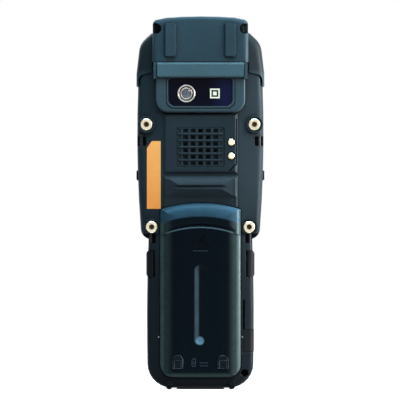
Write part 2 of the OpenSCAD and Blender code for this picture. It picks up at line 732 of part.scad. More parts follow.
side_key_side = head_side(side_key_z);
trigger_side = grip_side(trigger_z);
trigger_y0 = -grip_edge + trigger_w - 0.6; // front edge
trigger_in = 2.7;

module side_pockets() mirrored() {
    side_block(side_key_side, side_key_z, side_key_len, gap, 2.2 + side_travel);
    box([trigger_side - trigger_in - side_travel - gap, far], [-far, trigger_y0 + gap],
        [trigger_z - trigger_len / 2 - gap, trigger_z + trigger_len / 2 + gap]);
}

port_z = boot_len + 0.6 + port_len / 2;
port_x = grip_w / 2 - port_back; // inner edge on the back
usb_y = port_y - port_d / 2;
port_pin = [grip_w / 2 - 0.8, port_y - 0.8];

// Everything outside the skin pulled in by d, grown by g along the port cover's edges
module port_space(d, g) post(concat(grip_skin(d, port_y + g, port_x - g), [[port_x - g, -far],
    [far, -far],
    [far, port_y + g]]), port_z - port_len / 2 - g, port_z + port_len / 2 + g);

module port_recess() {
    port_space(port_t + 0.15, gap);
    translate([port_pin[0], port_pin[1], port_z - port_len / 2 - gap])
        cylinder(r = 0.8 + fit, h = port_len + 2 * gap);
    box([grip_w / 2 - 2.9, far], [port_y - port_d + 1.2, port_y - 2], [port_z - 4.1, port_z + 4.1]);
    usb_shell(fit, grip_w / 2 - 2.5);
    // slot beside the battery cover
    box([cover_w / 2 + cover_gap + 0.55, cover_w / 2 + cover_gap + 1.75], [-far, 1.9 - back_y],
        [port_z + port_len / 2, port_z + port_len / 2 + slot_len]);
}

module usb_shell(g, x1)
    box([bay_hw + 0.35 - g, x1], [usb_y - 1.5 - g, usb_y + 1.5 + g], [port_z - 3.8 - g,
        port_z + 3.8 + g]);

module screw_bosses() for (p = screw_spots) pin_y(p[0], p[1], screw_head_r + 1.2, -back_y - 0.31, 0);

module screw_holes() for (p = screw_spots) {
    pin_y(p[0], p[1], screw_head_r + 0.4, -far, -back_y + 0.9);
    pin_y(p[0], p[1], screw_r + fit, -back_y, screw_len + 0.9 - back_y + 0.3);
}

module rear_housing() color([0.08, 0.10, 0.13]) difference() {
    union() {
        intersection() {
            casing();
            box([-far, far], [-far, parting_y - seam / 2], [-far, far]);
        }
        intersection() {
            screw_bosses();
            plate(both(head_half(0.2)), -far, 0);
        }
        spine();
    }
    cover_pocket();
    hook_tabs(cover_gap);
    battery_bay();
    seal_ring(fit);
    board_outline(fit, -bay_y + 1.4, far);
    // head room behind the speaker and camera
    box([-head_board_hw, head_board_hw], [-back_y + wall, far], [cover_top + 7, spigot_top - 2.4]);
    box([-15.5, 15.5], [-far, 0], [bezel_bottom + 3, hood_bottom - 0.4]);
    plate(both(bezel_half(-fit)), -far, -bezel_seat);
    grille_plate(fit, -far, -back_y + 3);
    label_blank(fit, 1);
    for (z = contact_heights) pin_y(contact_x, z, contact_r + fit, -far, 0);
    panel_groove();
    strap_notches();
    strap_bar_holes();
    side_pockets();
    port_recess();
    screw_holes();
    for (x = [-4.5, -1.5, 1.5, 4.5]) box([x - 0.8 - fit, x + 0.8 + fit],
        [-bay_y - 6 - fit, -bay_y - 4 + fit], [bay_z1 - 0.1, bay_z1 + 1.5 + fit]);
    // way through to the scan engine
    box([-8, 8], [-3, far], [spigot_top - 6, spigot_top + 1]);
}

// ---------- camera ----------

bezel_top = nose_bottom - 0.1;
function bezel_half(d) = concat(
    arc([bezel_w / 2 - bezel_r, bezel_bottom + bezel_r], bezel_r - d, -90, 0), [[bezel_w / 2 - d,
        bezel_top]]);

module camera_bezel() color([0.09, 0.12, 0.15]) difference() {
    union() {
        rings([for (i = [0:3]) let (a = 90 * i / 4) [bezel_half(0.9 * (1 - sin(a))),
            -bezel_y + 0.9 * (1 - cos(a))]],
            bezel_half(0), -bezel_y + 0.9, -bezel_seat);
        // upright cheeks beside the hood
        mirrored() box([bezel_w / 2 - 0.5, bezel_w / 2 + 1], [-bezel_y - 0.9, 0.4 - foot_y],
            [hood_bottom - 0.5, bezel_top]);
    }
    plate(window_outline(fit), -far, -bezel_y + 2);
    plate(window_outline(-1.2), -far, far);
    // fine groove round the window
    difference() {
        plate(window_outline(1.3), -far, -bezel_y + 0.35);
        plate(window_outline(0.8), -far, far);
    }
    box([-hood_half - fit, hood_half + fit], [-far, -bezel_y + 0.4], [hood_bottom, nose_bottom]);
}

hood_half = bezel_w / 2 - 0.75;
window_z1 = hood_bottom - 0.3;

// Window with two cut lower corners, grown by g
function window_outline(g) =
    let (w = window_w / 2 + g, z0 = window_z1 - window_len - g, z1 = window_z1 + g, c = 2.6)
    both([[w - c, z0], [w - 0.8, z0 + 1.2], [w, z0 + c], [w, z1 - 1], [w - 1, z1]]);

module camera_hood() color([0.11, 0.15, 0.18]) bar([[-bezel_y + 0.4, hood_bottom + fit],
    [-bezel_y + 0.4, nose_bottom - 0.15], [-hood_y + 0.9, nose_bottom - 0.15], [-hood_y + 0.3,
        nose_bottom - 1],
    each arc([-hood_y + 0.8, hood_bottom + 0.85], 0.8, 180, 270, 4)], -hood_half, hood_half);

lens_z = hood_bottom - lens_drop;

module camera_window() color([0.05, 0.04, 0.10]) difference() {
    plate(window_outline(-0.02), -bezel_y + 0.5, -bezel_y + 1.9);
    pin_y(lens_x, lens_z, ring_r + fit, -far, 0);
    box([flash_x - flash_w / 2 - fit, flash_x + flash_w / 2 + fit], [-far, 0],
        [lens_z - flash_w / 2 - fit, lens_z + flash_w / 2 + fit]);
}

// Stepped ring round the lens
module camera_ring() color([0.75, 0.72, 0.70]) translate([lens_x, -bezel_y + 1.9,
    lens_z]) rotate([90, 0, 0])
    rotate_extrude() polygon([[lens_r + fit, 0], [ring_r, 0], [ring_r, 1.5],
        [ring_r - ring_band * 0.08, 1.65], [ring_r - ring_band * 0.3, 1.65],
        [ring_r - ring_band * 0.38, 1.5], [ring_r - ring_band * 0.38, 0.5],
        [lens_r + ring_band * 0.34, 0.5], [lens_r + ring_band * 0.34, 1.15],
        [lens_r + ring_band * 0.26, 1.25], [lens_r + ring_band * 0.12, 1.25], [lens_r + fit, 1.0]]);

module camera_lens() color([0.25, 0.32, 0.42]) translate([lens_x, -bezel_y + 1.9,
    lens_z]) rotate([90, 0, 0])
    rotate_extrude() polygon(concat([[0, 0], [lens_r, 0]], [for (i = [0:5])
        [lens_r * cos(18 * i), 0.55 + 0.5 * sin(18 * i)]]));

module camera_module() color([0.10, 0.10, 0.11]) {
    box([lens_x - 5, lens_x + 5], [-bezel_y + 2, -back_y + 8], [lens_z - 4.7, lens_z + 4.7]);
    box([lens_x + 5, flash_x + 3], [-bezel_y + 2.0, -bezel_y + 3.4], [lens_z - 3, lens_z + 3]);
}

module flash_lamp() color([0.93, 0.93, 0.88]) difference() {
    box([flash_x - flash_w / 2, flash_x + flash_w / 2], [-bezel_y + 0.4, -bezel_y + 1.9],
        [lens_z - flash_w / 2, lens_z + flash_w / 2]);
    difference() {
        box([flash_x - 1.4, flash_x + 1.4], [-far, -bezel_y + 0.9], [lens_z - 1.4, lens_z + 1.4]);
        box([flash_x - 0.85, flash_x + 0.85], [-bezel_y + 0.5, 0], [lens_z - 0.85, lens_z + 0.85]);
    }
}

// ---------- speaker ----------

grille_z = speaker_bottom + 2.2 + grille_len / 2;
grille_y = spine_y + 0.25;

module grille_plate(g, y0, y1) plate(rounded([0, grille_z], grille_w + 2 * g, grille_len + 2 * g,
    1), y0, y1);

// Woven grille: cross bars over uprights, open in a diamond and blind outside it
module speaker_grille() color([0.10, 0.13, 0.16]) {
    pitch_x = grille_w / (grille_cols + 1.4);
    pitch_z = grille_len / grille_rows;
    mid = (grille_cols - 1) / 2;
    difference() {
        grille_plate(0, -grille_y + 0.5, -back_y + 1.4);
        for (r = [0:grille_rows - 1], c = [0:grille_cols - 1])
            let (reach = min(r, grille_rows - 1 - r), open = abs(c - mid) <= reach,
                x = (c - mid) * pitch_x, z = grille_z + (r - (grille_rows - 1) / 2) * pitch_z)
            box([x - 0.95, x + 0.95], [-far, open ? far : -grille_y + 1.2], [z - 0.85, z + 0.85]);
    }
    // cross bars with rounded backs, between the rows
    for (r = [0:grille_rows])
        let (z = grille_z + (r - grille_rows / 2) * pitch_z, h = r % grille_rows == 0 ? 0.35 : 0.55)
        translate([-grille_w / 2 + 1, -grille_y + 0.55,
            z + (r == 0 ? 0.4 : r == grille_rows ? -0.4 : 0)])
            rotate([0, 90, 0]) cylinder(r = h, h = grille_w - 2);
    // short uprights that pass under the cross bars
    for (r = [0:grille_rows - 1], c = [0:grille_cols])
        let (x = (c - mid - 0.5) * pitch_x, z = grille_z + (r - (grille_rows - 1) / 2) * pitch_z)
        box([x - 0.45, x + 0.45], [-grille_y + 0.2, -grille_y + 0.6], [z - pitch_z / 2 + 0.3,
            z + pitch_z / 2 - 0.3]);
}

module speaker_driver() color([0.2, 0.2, 0.22]) {
    y0 = -back_y + 1.4 + 0.2;
    hw = grille_w / 2 - 0.4;
    hh = grille_len / 2 - 1.3;
    box([-hw, hw], [y0 + 1.2, y0 + 4.2], [grille_z - hh, grille_z + hh]);
    plate(rounded([0, grille_z], 2 * hw - 2, 2 * hh - 2, 4), y0, y0 + 1.2);
}

contact_x = grille_w / 2 + 3.2;
contact_heights = [for (s = [-1, 1]) speaker_bottom + 10.6 + s * contact_gap / 2];

module charging_contacts() color([0.92, 0.76, 0.38]) for (z = contact_heights)
    translate([contact_x, -back_y + wall + 0.6, z]) rotate([90, 0, 0]) rotate_extrude()
        polygon([[0, 0], [contact_r, 0], [contact_r, spine_h + wall + 0.8], [contact_r - 0.35,
            spine_h + wall + 1.1],
            [0, spine_h + wall + 1.2]]);

// ---------- label, screws ----------

module label_blank(g, out) on_wing(-1) let (x1 = -0.25 + g, x0 = -0.25 - label_w - g,
    z0 = cover_top - 2.8 - g, z1 = cover_top - 2.8 + label_len + g)
    plate([[x0, z0], [x1, z0], [x1, z1], [x0 + 2.4, z1], [x0, z1 - 3.4]], -out, 0.2);

module rating_label() color([0.88, 0.62, 0.28]) label_blank(0, 0.05);

module case_screws() color([0.86, 0.84, 0.80]) for (p = screw_spots)
    translate([p[0], -back_y + 0.9, p[1]]) rotate([90, 0, 0]) difference() {
        rotate_extrude() polygon([[0, -screw_len], [screw_r, -screw_len], [screw_r, 0],
            [screw_head_r, 0],
            [screw_head_r, 0.9], [screw_head_r - 0.45, 1.25], [0, 1.25]]);
        translate([0, 0, 0.3]) cylinder(r = socket_r, h = 2);
    }

// ---------- cap, boot and front casing ----------

module cap_ribs() mirrored() {
    z0 = nose_bottom + 2.4;
    pillow_rib([nose_w / 2 - 8.4, (z0 + total_len - 3.2) / 2], 5.5, total_len - 3.2 - z0);
}

module pillow_rib(c, w, h) {
    plate(rounded(c, w, h, 1.2), -hood_y + 0.5, -hood_y + 2);
    plate(rounded(c, w - 0.8, h - 0.8, 0.9), -hood_y + 0.1, -hood_y + 2);
}

module top_cap() color([0.08, 0.11, 0.14]) difference() {
    union() {
        intersection() {
            union() {
                shoulder_blank();
                pillow(function(d) nose_half(d), -bezel_y - 0.5, front_y + 0.4, 2.2, 2, 3);
            }
            cap_zone(seam);
        }
        cap_ribs();
    }
    spigots(fit);
    // room for the scan engine and its window
    box([-engine_w / 2 - 0.4, engine_w / 2 + 0.4], [-engine_d / 2 - 0.4, engine_d / 2 + 0.4],
        [spigot_top - 1, spigot_top + engine_h + 0.6]);
    box([-scan_window_w / 2 + 2, scan_window_w / 2 - 2], [-scan_window_d / 2 + 1.5,
        scan_window_d / 2 - 1.5],
        [spigot_top, far + total_len]);
    box([-scan_window_w / 2, scan_window_w / 2], [-scan_window_d / 2, scan_window_d / 2],
        [total_len - 2.2, far + total_len]);
    // scoops in the nose's back corners
    mirrored() {
        box([nose_w / 2 - 2.2, far], [-far, 4.4 - bezel_y], [total_len - 7.6, total_len - 3.4]);
        pin_y(nose_w / 2 - 1.6, total_len - 5.9, 2.5, -far, 3.4 - bezel_y);
    }
}

module scan_window() color([0.35, 0.05, 0.08])
    box([-scan_window_w / 2 + fit, scan_window_w / 2 - fit], [-scan_window_d / 2 + fit,
        scan_window_d / 2 - fit],
        [total_len - 2.2, total_len - 0.9]);

module scan_engine() color([0.15, 0.16, 0.17]) difference() {
    z0 = spigot_top + 0.05;
    box([-engine_w / 2, engine_w / 2], [-engine_d / 2, engine_d / 2], [z0, z0 + engine_h]);
    for (x = [-6.5, 0, 6.5]) translate([x, 0, z0 + engine_h - 1.5]) cylinder(r = 2.4, h = 3);
}

module bottom_boot() color([0.07, 0.09, 0.11]) difference() {
    union() {
        intersection() {
            grip_blank(0.3);
            boot_zone(seam);
        }
        // standing pad and its two side ribs
        post(rounded([0, 0], pad_w, pad_d, 2.5), 0, 2);
        for (s = [-1, 1]) {
            pin_y(s * foot_x, foot_r, foot_r, 0.6 - back_y, back_y - 1.5);
            pin_y(s * foot_x, 3.1, foot_r, -back_y - 0.2, 2.5 - back_y);
            box([s * foot_x - foot_r, s * foot_x + foot_r], [0.6 - back_y, 2.5 - back_y], [foot_r,
                3.1]);
        }
    }
    spigots(fit);
    cover_pocket();
    seal_ring(fit);
    keepers();
    pin_y(anchor_x, anchor_z, anchor_r, -far, anchor_deep - back_y);
    box([-7, 7], [-2.5, 2.5], [-1, 1.2]);
}

module dock_contacts() color([0.85, 0.68, 0.32])
    for (i = [-2:2]) box([i * 2.5 - 0.7, i * 2.5 + 0.7], [-1.8, 1.8], [0.6, 1.2]);

module front_housing() color([0.09, 0.10, 0.12]) difference() {
    intersection() {
        casing();
        box([-far, far], [parting_y + seam / 2, far], [-far, far]);
    }
    board_outline(fit, 0, parting_y + 5);
    // room behind the keys
    box([-keypad_hw, keypad_hw], [0, front_y - key_plate], [bay_z0 - 1, keys_top + 1]);
    for (k = key_table) key_block(k, gap, -far, far);
    // display pocket with a ledge for the glass
    plate(rounded([0, (glass_z0 + glass_z1) / 2], glass_w + 2 * fit, glass_z1 - glass_z0 + 2 * fit, 3),
        front_y - glass_t - 0.1, far);
    box([-glass_w / 2 + 1.6, glass_w / 2 - 1.6], [front_y - 5.8, far], [glass_z0 + 1.6,
        glass_z1 - 1.6]);
    // earpiece and lamp
    plate(rounded([0, glass_z1 + 1.9], 10 + 2 * fit, 1.6 + 2 * fit, 0.7), front_y - 1, far);
    pin_y(15, glass_z1 + 1.9, 0.9 + fit, front_y - 3, far);
    screw_holes();
    box([-8, 8], [0, 8], [spigot_top - 6, spigot_top + 1]);
}

keypad_hw = key_pitch_x + key_w / 2 + 1;

// ---------- display, boards and what sits on them ----------

module display_glass() color([0.03, 0.03, 0.04])
    plate(rounded([0, (glass_z0 + glass_z1) / 2], glass_w, glass_z1 - glass_z0, 3),
        front_y - glass_t - 0.05, front_y - 0.1);

module display_module() color([0.12, 0.13, 0.15])
    box([-glass_w / 2 + 1.8, glass_w / 2 - 1.8], [front_y - 5.7, front_y - glass_t - 0.2],
        [glass_z0 + 1.8, glass_z1 - 1.8]);

module main_board() color([0.05, 0.28, 0.16]) difference() {
    board_outline(-0.1, board_y, board_y + board_t);
    for (p = screw_spots) pin_y(p[0], p[1], 4, -far, far);
}

module shield_cans() color([0.70, 0.71, 0.72]) {
    y0 = board_y + board_t;
    for (k = [0.36, 0.86]) box([-0.74 * board_hw, 0.2 * board_hw], [y0, y0 + 2],
        [bay_z0 + k * pack_len, bay_z0 + (k + 0.4) * pack_len]);
    box([-0.79 * head_board_hw, 0.52 * head_board_hw], [y0, y0 + 2],
        [speaker_bottom - 0.23 * speaker_len, speaker_bottom + 0.93 * speaker_len]);
}

module card_holder() color([0.62, 0.63, 0.65]) {
    y0 = board_y + board_t;
    box([0.3 * board_hw, 0.89 * board_hw], [y0, y0 + 1.6], [bay_z0 + 0.43 * pack_len,
        bay_z0 + 0.68 * pack_len]);
}

module vibration_motor() color([0.55, 0.55, 0.57])
    pin_y(0.69 * board_hw, bay_z0 + 0.935 * pack_len, 0.2 * board_hw, board_y + board_t,
        board_y + board_t + 2.6);

module receiver_mesh() color([0.25, 0.26, 0.28])
    plate(rounded([0, glass_z1 + 1.9], 10, 1.6, 0.7), front_y - 1, front_y - 0.2);

module status_lamp() color([0.3, 0.75, 0.4]) pin_y(15, glass_z1 + 1.9, 0.9, front_y - 3,
    front_y + 0.05);

module keypad_mat() color([0.10, 0.10, 0.11]) difference() {
    y1 = front_y - key_plate - 0.05;
    box([-keypad_hw + 0.2, keypad_hw - 0.2], [y1 - mat_t, y1], [bay_z0 - 0.8, keys_top + 0.8]);
    for (k = key_table) key_block(k, gap + 0.1, y1 - key_travel - 0.3, far);
}

module keypad_board() color([0.06, 0.30, 0.18])
    box([-keypad_hw + 0.2, keypad_hw - 0.2], [front_y - key_plate - mat_t - 1.2,
        front_y - key_plate - mat_t - 0.1],
        [bay_z0 - 0.8, keys_top + 0.8]);

// ---------- keys ----------

// Each key: centre x, centre z, width, height
scan_spec = [0, scan_row_z, scan_key_w, scan_key_h];
function_spec = [for (s = [-1, 1]) [s * (key_pitch_x + 1.2), scan_row_z, key_w - 3, key_h]];
function number_spec(r, c) =
    [(c - (key_cols + 1) / 2) * key_pitch_x, key_base + (key_rows - r) * key_pitch_z, key_w, key_h];
key_table = concat([scan_spec], function_spec, [for (r = [1:key_rows],
    c = [1:key_cols]) number_spec(r, c)]);

module key_block(k, g, y0, y1) plate(rounded([k[0], k[1]], k[2] + 2 * g, k[3] + 2 * g, 2), y0, y1);

// A key cap with a small step round its crown
module key(k) color([0.16, 0.17, 0.19]) {
    key_block(k, 0, key_y0, front_y + key_proud - 0.3);
    key_block(k, -0.35, key_y0, front_y + key_proud);
}

module scan_key() key(scan_spec);
module function_key_left() key(function_spec[0]);
module function_key_right() key(function_spec[1]);

// ---------- side controls and port cover ----------

module side_key_right() color([0.12, 0.14, 0.16]) {
    x = side_key_side;
    d = side_proud * 0.6;
    box([x - 2.2, x + side_proud - d], [-4 - side_w / 2, -4 + side_w / 2],
        [side_key_z - side_key_len / 2, side_key_z + side_key_len / 2]);
    box([x - 2.2, x + side_proud], [-4 - side_w / 2 + d, -4 + side_w / 2 - d],
        [side_key_z - side_key_len / 2 + d, side_key_z + side_key_len / 2 - d]);
}

// Trigger rounded to follow the grip's corner, with cut ends
module trigger_right() color([0.12, 0.14, 0.16]) {
    x = trigger_side;
    x1 = x + side_proud;
    x0 = x - trigger_in;
    r = 3.4;
    z0 = trigger_z - trigger_len / 2;
    z1 = trigger_z + trigger_len / 2;
    intersection() {
        post(concat([[x0, trigger_y0], [x1 - 0.5, trigger_y0], [x1, trigger_y0 - 0.5]],
            arc([x1 - r, r - grip_edge - 0.35], r, 0, -78, 6), [[x0,
                -wing_y(x0) + grip_drop - 0.05]]), z0, z1);
        plate([[x0 - 1, z0], [x1 - 0.7, z0], [x1, z0 + 1.2], [x1, z1 - 1.2], [x1 - 0.7, z1],
            [x0 - 1, z1]], -far, far);
    }
}
module trigger_left() mirror([1, 0, 0]) trigger_right();
module side_key_left() mirror([1, 0, 0]) side_key_right();

module usb_port() color([0.70, 0.71, 0.72]) difference() {
    usb_shell(0, grip_w / 2 - 3);
    usb_shell(-0.35, grip_w / 2);
}

// Port cover: turns on a bead along its front edge and wraps round to the back
module port_cover() color([0.06, 0.07, 0.09]) {
    x1 = grip_w / 2;
    difference() {
        port_space(port_t, 0);
        // outer skin, and the front edge behind the bead
        port_outside();
        box([port_pin[0] - far, far], [port_pin[1], far], [0, far]);
    }
    translate([port_pin[0], port_pin[1], port_z - port_len / 2]) cylinder(r = 0.8, h = port_len);
    // plug that seals the recess
    box([x1 - 2.3, x1 - port_t + 0.1], [port_y - port_d + 1.8, port_y - 2.8], [port_z - 3.6,
        port_z + 3.6]);
}

module port_outside() post(concat(grip_skin(-0.08, port_y + 1, port_x - 1), [[port_x - 1, -far],
    [far, -far],
    [far, port_y + 1]]), 0, total_len);

rear_housing();
front_housing();
top_cap();
bottom_boot();
camera_bezel();
camera_hood();
camera_window();
camera_ring();
camera_lens();
camera_module();
flash_lamp();
speaker_grille();
speaker_driver();
charging_contacts();
rating_label();
case_screws();
strap_bars();
battery_cover();
latch_left();
latch_right();
bay_seal();
battery_pack();
battery_contacts();
main_board();
shield_cans();
display_module();
display_glass();
keypad_mat();
keypad_board();
scan_engine();
scan_window();
usb_port();
port_cover();
dock_contacts();
receiver_mesh();
status_lamp();
vibration_motor();
card_holder();
trigger_left();
trigger_right();
side_key_left();
side_key_right();
scan_key();
function_key_left();
function_key_right();
for (r = [1:key_rows], c = [1:key_cols])
    key(number_spec(r, c));
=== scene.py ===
import math
import bmesh
import bpy
from mathutils import Matrix, Vector


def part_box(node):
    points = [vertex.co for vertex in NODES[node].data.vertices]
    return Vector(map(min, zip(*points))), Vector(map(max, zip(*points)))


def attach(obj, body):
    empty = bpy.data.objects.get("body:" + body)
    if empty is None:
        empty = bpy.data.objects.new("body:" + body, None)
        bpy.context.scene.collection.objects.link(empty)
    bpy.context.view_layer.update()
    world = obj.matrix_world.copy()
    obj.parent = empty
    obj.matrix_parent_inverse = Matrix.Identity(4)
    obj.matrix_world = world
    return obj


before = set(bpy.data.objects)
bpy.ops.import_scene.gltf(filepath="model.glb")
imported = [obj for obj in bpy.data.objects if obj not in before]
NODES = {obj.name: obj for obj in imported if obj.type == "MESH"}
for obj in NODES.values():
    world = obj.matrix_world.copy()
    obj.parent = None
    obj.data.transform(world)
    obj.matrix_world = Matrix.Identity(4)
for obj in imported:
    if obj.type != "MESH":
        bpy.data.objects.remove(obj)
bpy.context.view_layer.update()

MM = 0.001
scene = bpy.context.scene


def srgb(r, g, b):
    """A colour written 0 to 255 as a linear one."""
    def one(v):
        v = v / 255
        return v / 12.92 if v <= 0.04045 else ((v + 0.055) / 1.055) ** 2.4
    return (one(r), one(g), one(b), 1.0)


def shade(rgb, k):
    """A linear colour, k times as light."""
    return (min(1, rgb[0] * k), min(1, rgb[1] * k), min(1, rgb[2] * k), 1.0)


# ---------- node trees ----------

class Tree:
    """The node tree of a material or a world, with short calls."""

    def __init__(self, owner):
        owner.use_nodes = True
        self.nt = owner.node_tree
        self.nt.nodes.clear()

    def put(self, target, value):
        if isinstance(value, bpy.types.NodeSocket):
            self.nt.links.new(value, target)
        else:
            target.default_value = value

    def make(self, kind, inputs=None, **settings):
        """A node of that kind; inputs go by name or number."""
        n = self.nt.nodes.new("ShaderNode" + kind)
        for key, value in settings.items():
            setattr(n, key, value)
        for key, value in (inputs or {}).items():
            self.put(n.inputs[key], value)
        return n

    def math(self, kind, a, b=0.0):
        return self.make("Math", {0: a, 1: b}, operation=kind).outputs[0]

    def times(self, a, b):
        return self.math("MULTIPLY", a, b)

    def span(self, value, a, b, c, d, smooth=False):
        """value from a to b becomes c to d, and stays there beyond."""
        n = self.make("MapRange", {0: value, 1: a, 2: b, 3: c, 4: d}, clamp=True,
                      interpolation_type="SMOOTHSTEP" if smooth else "LINEAR")
        return n.outputs[0]

    def seen(self):
        """1 for what the camera, gloss or glass sees, 0 for light that falls on the object."""
        path = self.make("LightPath").outputs
        either = self.math("MAXIMUM", path["Is Camera Ray"], path["Is Glossy Ray"])
        return self.math("MAXIMUM", either, path["Is Transmission Ray"])


class Finish(Tree):
    """A material with one shader. Places are object coordinates, those in arguments in mm."""

    def __init__(self, name):
        self.material = bpy.data.materials.new("m_" + name)
        super().__init__(self.material)
        self.shader = self.make("BsdfPrincipled")
        self.make("OutputMaterial", {0: self.shader.outputs[0]})
        self.place = self.make("TexCoord").outputs["Object"]
        self.parts = None

    def set(self, **inputs):
        """The shader's inputs, written with _ for each space."""
        for key, value in inputs.items():
            self.put(self.shader.inputs[key.replace("_", " ")], value)

    def noise(self, scale, detail=3.0, rough=0.55, place=None):
        return self.make("TexNoise", {"Scale": scale, "Detail": detail, "Roughness": rough,
                                      "Vector": place or self.place}).outputs["Fac"]

    def cells(self, scale):
        return self.make("TexVoronoi", {"Scale": scale, "Vector": self.place}).outputs["Distance"]

    def stretched(self, x, y, z):
        return self.make("Mapping", {"Scale": (x, y, z), "Vector": self.place}).outputs[0]

    def mix(self, share, a, b):
        return self.make("Mix", {0: share, 6: a, 7: b}, data_type="RGBA").outputs[2]

    def along(self, axis):
        """The place along X, Y or Z, in mm."""
        self.parts = self.parts or self.make("SeparateXYZ", {0: self.place})
        return self.times(self.parts.outputs[axis], 1 / MM)

    def off(self, axis, middle=0.0):
        """Distance along an axis from a middle."""
        return self.math("ABSOLUTE", self.math("SUBTRACT", self.along(axis), middle))

    def round_about(self, *centres):
        """Distance from the nearest of these places (x, z) on the back or front."""
        best = None
        for x, z in centres:
            dx, dz = self.off("X", x), self.off("Z", z)
            far = self.math("SQRT", self.math("ADD", self.times(dx, dx), self.times(dz, dz)))
            best = far if best is None else self.math("MINIMUM", best, far)
        return best

    def square_about(self, x, z):
        """Like round_about, for square outlines."""
        return self.math("MAXIMUM", self.off("X", x), self.off("Z", z))

    def band(self, value, a, b, soft=0.06):
        """1 where value lies between a and b, 0 outside."""
        return self.times(self.span(value, a - soft, a + soft, 0, 1),
                          self.span(value, b - soft, b + soft, 1, 0))

    def rounded(self, radius):
        """The normal as it would be with every edge rounded to that radius."""
        return self.make("Bevel", {"Radius": radius * MM}, samples=6).outputs[0]

    def edges(self, soft):
        """1 along sharp outer and inner edges, 0 on flats."""
        normal = self.make("NewGeometry").outputs["Normal"]
        dot = self.make("VectorMath", {0: soft, 1: normal}, operation="DOT_PRODUCT")
        return self.span(dot.outputs["Value"], 0.985, 0.86, 0.0, 1.0)

    def hollow_shade(self, reach):
        """Where shade is painted: 1 deep in corners, seams and holes, 0 on open faces."""
        n = self.make("AmbientOcclusion", {"Distance": reach * MM}, samples=8)
        return self.span(n.outputs["AO"], 0.94, 0.42, 0.0, 1.0)

    def bump(self, height, depth, soft=None):
        n = self.make("Bump", {"Distance": depth * MM, "Height": height})
        if soft is not None:
            self.put(n.inputs["Normal"], soft)
        return n.outputs[0]


# ---------- kinds of material ----------

PATCH = 0.10        # how much a plastic's colour drifts, as a share
HOLLOW_SHADE_STRENGTH = 0.9          # how far painted shade darkens a plastic's hollows
LOW_SHADE_HEIGHTS = (105, 45)    # painted shade: a plastic can darken towards the bottom between these heights, in mm


def plastic(name, rgb, rough, spec=0.35, grain=1500, depth=0.03, round_r=0.22, edge_wear_and_highlight=0.5,
            edge_wear_and_highlight_rgb=None, sheen=0.0, low_shade=1.0, paint=None, tint=None, reach=2.6):
    """Moulded plastic: fine cell grain, slow colour and gloss changes, edges a little lighter as wear
    and painted highlight, painted shade in its hollows and, where asked, painted shade towards the
    bottom.
    """
    t = Finish(name)
    fine = t.noise(grain * 1.4, 2)
    soft = t.rounded(round_r)
    edge = t.times(t.edges(soft), t.span(t.noise(420, 4, 0.7), 0.40, 0.62, 0.15, 1.0))
    drift = t.span(t.noise(55, 3), 0.3, 0.7, 0, 1)
    base = t.mix(drift, shade(rgb, 1 - PATCH), shade(rgb, 1 + PATCH))
    base = t.mix(t.span(fine, 0.35, 0.65, 0, 0.30), base, shade(rgb, 0.80))
    # painted shade: darker towards the bottom
    if low_shade < 1:
        base = t.mix(t.span(t.along("Z"), *LOW_SHADE_HEIGHTS, 0, 1, True), base, shade(rgb, low_shade))
    for share, colour in paint(t) if paint else ():
        base = t.mix(share, base, colour)
    # edges lighter: partly wear, partly painted highlight
    base = t.mix(t.times(edge, edge_wear_and_highlight), base, edge_wear_and_highlight_rgb or shade(rgb, 2.4))
    # painted shade in corners, seams and holes
    base = t.mix(t.times(t.hollow_shade(reach), HOLLOW_SHADE_STRENGTH), base, shade(rgb, 0.12))
    dull = t.span(t.noise(170, 4, 0.6), 0.3, 0.7, rough - 0.05, rough + 0.06)
    height = t.math("ADD", t.times(t.cells(grain), 0.7), t.times(fine, 0.5))
    t.set(Base_Color=base, Roughness=t.math("SUBTRACT", dull, t.times(edge, 0.10)),
          Specular_IOR_Level=spec, Sheen_Weight=sheen, Sheen_Roughness=0.35,
          Sheen_Tint=(0.8, 0.93, 1.0, 1.0), Normal=t.bump(height, depth, soft))
    if tint:
        t.set(Specular_Tint=tint)
    return t.material


def metal(name, rgb, rough, turned=False, dull=None, paint=None):
    """Turned or drawn metal: fine tool marks, dulling in patches, bright edges."""
    t = Finish(name)
    marks = t.noise(2600, 2, place=t.stretched(1, 0.12, 1) if turned else t.stretched(1, 1, 0.08))
    soft = t.rounded(0.08)
    base = t.mix(t.span(t.noise(330, 4, 0.6), 0.35, 0.70, 0, 1), rgb, dull or shade(rgb, 0.66))
    base = t.mix(t.times(t.edges(soft), 0.5), base, shade(rgb, 1.2))
    r = t.span(marks, 0.3, 0.7, rough - 0.07, rough + 0.10)
    bare = 1.0
    # parts of the face that aren't bare: a share, a colour and a roughness each
    for share, colour, dullness in paint(t) if paint else ():
        rest = t.math("SUBTRACT", 1.0, share)
        base = t.mix(share, base, colour)
        r = t.math("ADD", t.times(r, rest), t.times(share, dullness))
        bare = t.times(bare, rest)
    t.set(Base_Color=base, Metallic=bare, Specular_IOR_Level=0.1, Roughness=r,
          Normal=t.bump(marks, 0.006, soft))
    return t.material


def gloss(name, rgb, rough, coat, spec=0.5, tint=None, paint=None):
    """Polished cover glass or gloss plastic: faint smears in the gloss and slow colour drift."""
    t = Finish(name)
    smear = t.noise(240, 4, 0.6, t.stretched(1, 1, 0.35))
    hair = t.noise(1900, 2, place=t.stretched(1, 1, 0.05))
    base = t.mix(t.span(t.noise(40, 2), 0.3, 0.7, 0, 1), rgb, tint or shade(rgb, 1.5))
    for share, colour in paint(t) if paint else ():
        base = t.mix(share, base, colour)
    t.set(Base_Color=base, Roughness=t.span(smear, 0.40, 0.75, rough, rough + 0.07),
          Specular_IOR_Level=spec, Coat_Weight=coat, Coat_Roughness=0.03,
          Normal=t.bump(hair, 0.0006, t.rounded(0.12)))
    return t.material


